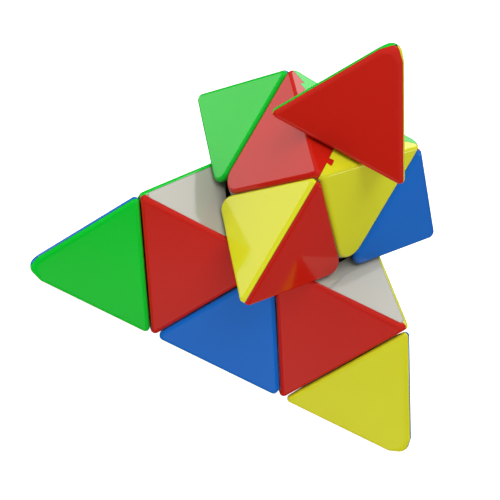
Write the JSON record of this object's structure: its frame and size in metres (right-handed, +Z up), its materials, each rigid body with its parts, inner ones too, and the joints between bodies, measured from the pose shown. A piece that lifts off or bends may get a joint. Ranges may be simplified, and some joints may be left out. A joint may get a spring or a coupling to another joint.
{
  "type": "pyramid twisty puzzle",
  "caption": "Pyramid-shaped twisty puzzle in moulded coloured plastic, with its top layer part way round and turning tips on a sprung ball core.",
  "frame": {"origin": "the centre of the ball core, where the four turning axes cross", "axes": "+Z up along the top corner's turning axis; the front face of the body looks along -Y; the bottom face lies square to -Z"},
  "size_m": [0.0938, 0.0901, 0.0766],
  "materials": {
    "red_abs": "glossy moulded red ABS",
    "green_abs": "glossy moulded green ABS",
    "yellow_abs": "glossy moulded yellow ABS",
    "blue_abs": "glossy moulded blue ABS",
    "body_grey": "smooth pale warm grey moulded plastic of the inner bodies",
    "core_grey": "satin dark grey moulded plastic of the core and feet",
    "screw_steel": "zinc-plated steel screw",
    "spring_steel": "drawn spring steel"
  },
  "bodies": {
    "lower_body": {"ball_core": "core_grey", "top_screw": "screw_steel", "top_spring": "spring_steel", "left_screw": "screw_steel", "left_spring": "spring_steel", "left_axial_body": "body_grey", "left_axial_shell_green": "green_abs", "left_axial_shell_red": "red_abs", "left_axial_shell_blue": "blue_abs", "right_screw": "screw_steel", "right_spring": "spring_steel", "right_axial_body": "body_grey", "right_axial_shell_yellow": "yellow_abs", "right_axial_shell_blue": "blue_abs", "right_axial_shell_red": "red_abs", "back_screw": "screw_steel", "back_spring": "spring_steel", "back_axial_body": "body_grey", "back_axial_shell_blue": "blue_abs", "back_axial_shell_yellow": "yellow_abs", "back_axial_shell_green": "green_abs", "left_right_edge_shell_yellow": "yellow_abs", "left_right_edge_shell_blue": "blue_abs", "left_right_edge_foot": "core_grey", "left_back_edge_shell_yellow": "yellow_abs", "left_back_edge_shell_green": "green_abs", "left_back_edge_foot": "core_grey", "right_back_edge_shell_red": "red_abs", "right_back_edge_shell_green": "green_abs", "right_back_edge_foot": "core_grey"},
    "top_layer": {"top_axial_body": "body_grey", "top_axial_shell_red": "red_abs", "top_axial_shell_green": "green_abs", "top_axial_shell_yellow": "yellow_abs", "top_back_edge_shell_blue": "blue_abs", "top_back_edge_shell_red": "red_abs", "top_back_edge_foot": "core_grey", "top_left_edge_shell_blue": "blue_abs", "top_left_edge_shell_green": "green_abs", "top_left_edge_foot": "core_grey", "top_right_edge_shell_yellow": "yellow_abs", "top_right_edge_shell_red": "red_abs", "top_right_edge_foot": "core_grey"},
    "top_tip": {"top_tip_body": "body_grey", "top_tip_shell_red": "red_abs", "top_tip_shell_green": "green_abs", "top_tip_shell_yellow": "yellow_abs"},
    "left_tip": {"left_tip_body": "body_grey", "left_tip_shell_green": "green_abs", "left_tip_shell_red": "red_abs", "left_tip_shell_blue": "blue_abs"},
    "right_tip": {"right_tip_body": "body_grey", "right_tip_shell_yellow": "yellow_abs", "right_tip_shell_blue": "blue_abs", "right_tip_shell_red": "red_abs"},
    "back_tip": {"back_tip_body": "body_grey", "back_tip_shell_blue": "blue_abs", "back_tip_shell_yellow": "yellow_abs", "back_tip_shell_green": "green_abs"}
  },
  "joints": [
    {"name": "top_layer_turn", "type": "hinge", "parent": "lower_body", "child": "top_layer", "pos_m": [0, 0, 0], "axis": [0, 0, 1], "continuous": true},
    {"name": "top_tip_turn", "type": "hinge", "parent": "top_layer", "child": "top_tip", "pos_m": [0, 0, 0], "axis": [0, 0, 1], "continuous": true},
    {"name": "left_tip_turn", "type": "hinge", "parent": "lower_body", "child": "left_tip", "pos_m": [0, 0, 0], "axis": [-0.8165, -0.4714, -0.3333], "continuous": true},
    {"name": "right_tip_turn", "type": "hinge", "parent": "lower_body", "child": "right_tip", "pos_m": [0, 0, 0], "axis": [0.8165, -0.4714, -0.3333], "continuous": true},
    {"name": "back_tip_turn", "type": "hinge", "parent": "lower_body", "child": "back_tip", "pos_m": [0, 0, 0], "axis": [0, 0.9428, -0.3333], "continuous": true}
  ]
}
